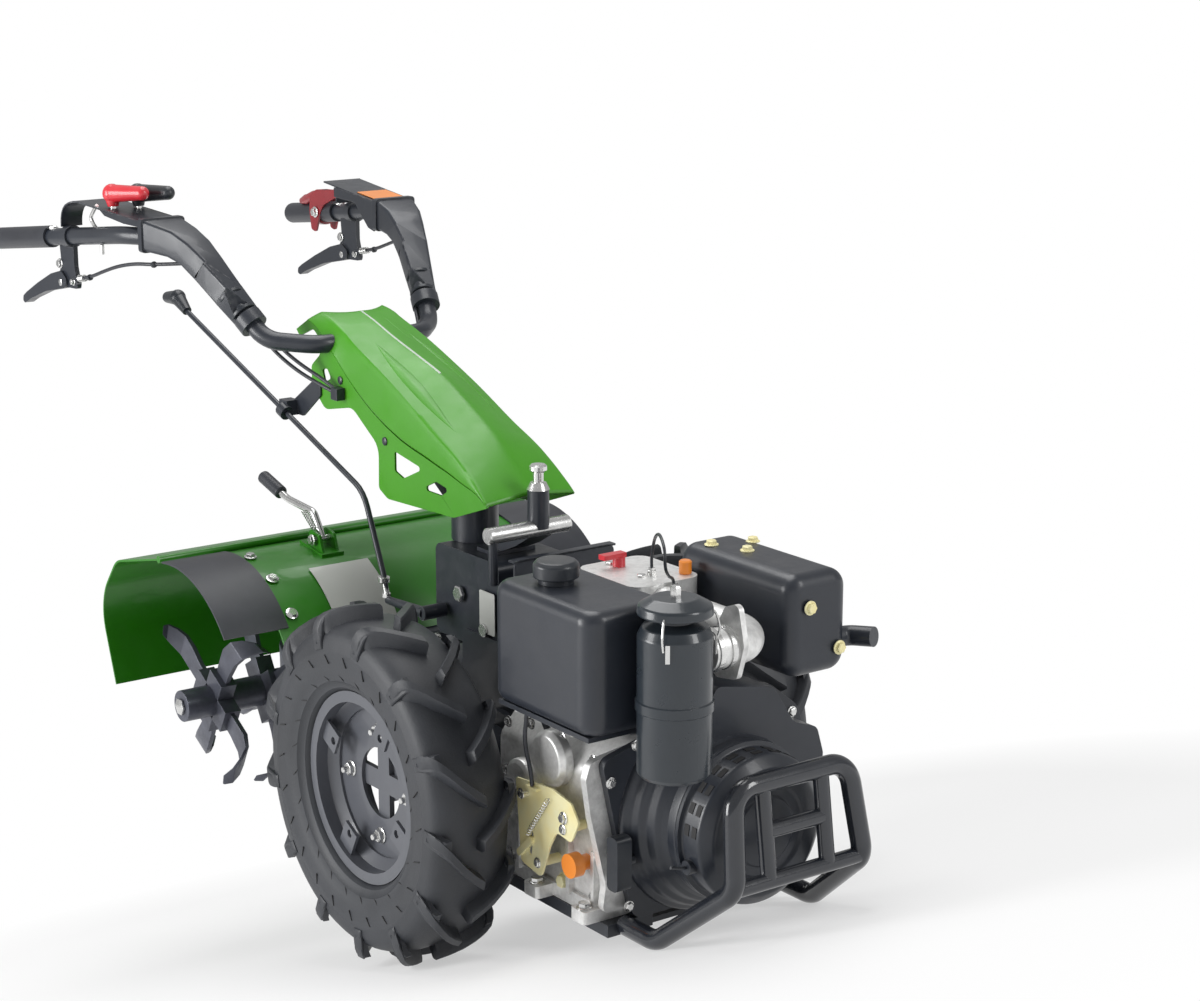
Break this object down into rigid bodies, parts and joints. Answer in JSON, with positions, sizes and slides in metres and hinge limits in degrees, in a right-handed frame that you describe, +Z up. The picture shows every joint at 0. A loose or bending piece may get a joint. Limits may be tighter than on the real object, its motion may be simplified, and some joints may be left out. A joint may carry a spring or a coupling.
{
  "type": "power weeder",
  "caption": "Walk-behind two-wheel power weeder with a front diesel engine, lugged tyres, tube guard, handlebars and a hooded rear rotary tiller.",
  "frame": {"origin": "on the floor under the middle of the parked machine's box", "axes": "+X forward to the engine, +Y to the machine's left, +Z up"},
  "size_m": [1.6196, 0.7, 1.2638],
  "materials": {
    "black_plastic": "moulded black plastic",
    "blade_steel": "dark painted forged steel",
    "cast_aluminium": "as-cast aluminium",
    "gloss_black_paint": "gloss black enamel",
    "green_paint": "bright green gloss enamel",
    "grip_rubber": "black rubber",
    "orange_plastic": "orange plastic",
    "red_plastic": "red plastic",
    "satin_black_paint": "satin black powder coat",
    "tyre_rubber": "moulded black tyre rubber",
    "yellow_zinc": "yellow zinc plate"
  },
  "bodies": {
    "chassis": {"axle_housing_left": "satin_black_paint", "axle_housing_right": "satin_black_paint", "gearbox": "satin_black_paint", "clutch_housing": "satin_black_paint", "tiller_neck": "satin_black_paint", "engine_crankcase": "cast_aluminium", "engine_cylinder": "cast_aluminium", "rocker_cover": "cast_aluminium", "fan_shroud": "satin_black_paint", "recoil_starter": "satin_black_paint", "starter_grip": "black_plastic", "air_cleaner": "black_plastic", "intake_elbow": "cast_aluminium", "fuel_tank": "satin_black_paint", "tank_bracket": "satin_black_paint", "tank_cap": "black_plastic", "muffler": "satin_black_paint", "governor_plate": "yellow_zinc", "oil_filler_cap": "orange_plastic", "decompression_lever": "red_plastic", "front_guard": "gloss_black_paint", "engine_frame": "satin_black_paint", "handlebar_tube": "gloss_black_paint", "grip_left": "grip_rubber", "grip_right": "grip_rubber", "arm_cover_left": "satin_black_paint", "arm_cover_right": "satin_black_paint", "brake_lever_left": "satin_black_paint", "brake_lever_right": "satin_black_paint", "bonnet": "green_paint", "handle_column": "satin_black_paint", "shift_rod": "gloss_black_paint", "tiller_gearbox": "satin_black_paint", "tiller_hood": "green_paint", "rear_shield": "green_paint", "side_flap_left": "grip_rubber", "side_flap_right": "grip_rubber"},
    "wheel_left": {"tyre_left": "tyre_rubber", "rim_left": "gloss_black_paint", "hub_left": "satin_black_paint"},
    "wheel_right": {"tyre_right": "tyre_rubber", "rim_right": "gloss_black_paint", "hub_right": "satin_black_paint"},
    "tine_rotor": {"tine_rotor_left": "blade_steel", "tine_rotor_right": "blade_steel"}
  },
  "joints": [
    {"name": "wheel_left_spin", "type": "hinge", "parent": "chassis", "child": "wheel_left", "pos_m": [0.16904, 0.27, 0.262], "axis": [0, 1, 0], "continuous": true},
    {"name": "wheel_right_spin", "type": "hinge", "parent": "chassis", "child": "wheel_right", "pos_m": [0.16904, -0.27, 0.262], "axis": [0, 1, 0], "continuous": true},
    {"name": "tine_rotor_spin", "type": "hinge", "parent": "chassis", "child": "tine_rotor", "pos_m": [-0.29945, 0, 0.40565], "axis": [0, 1, 0], "continuous": true}
  ]
}
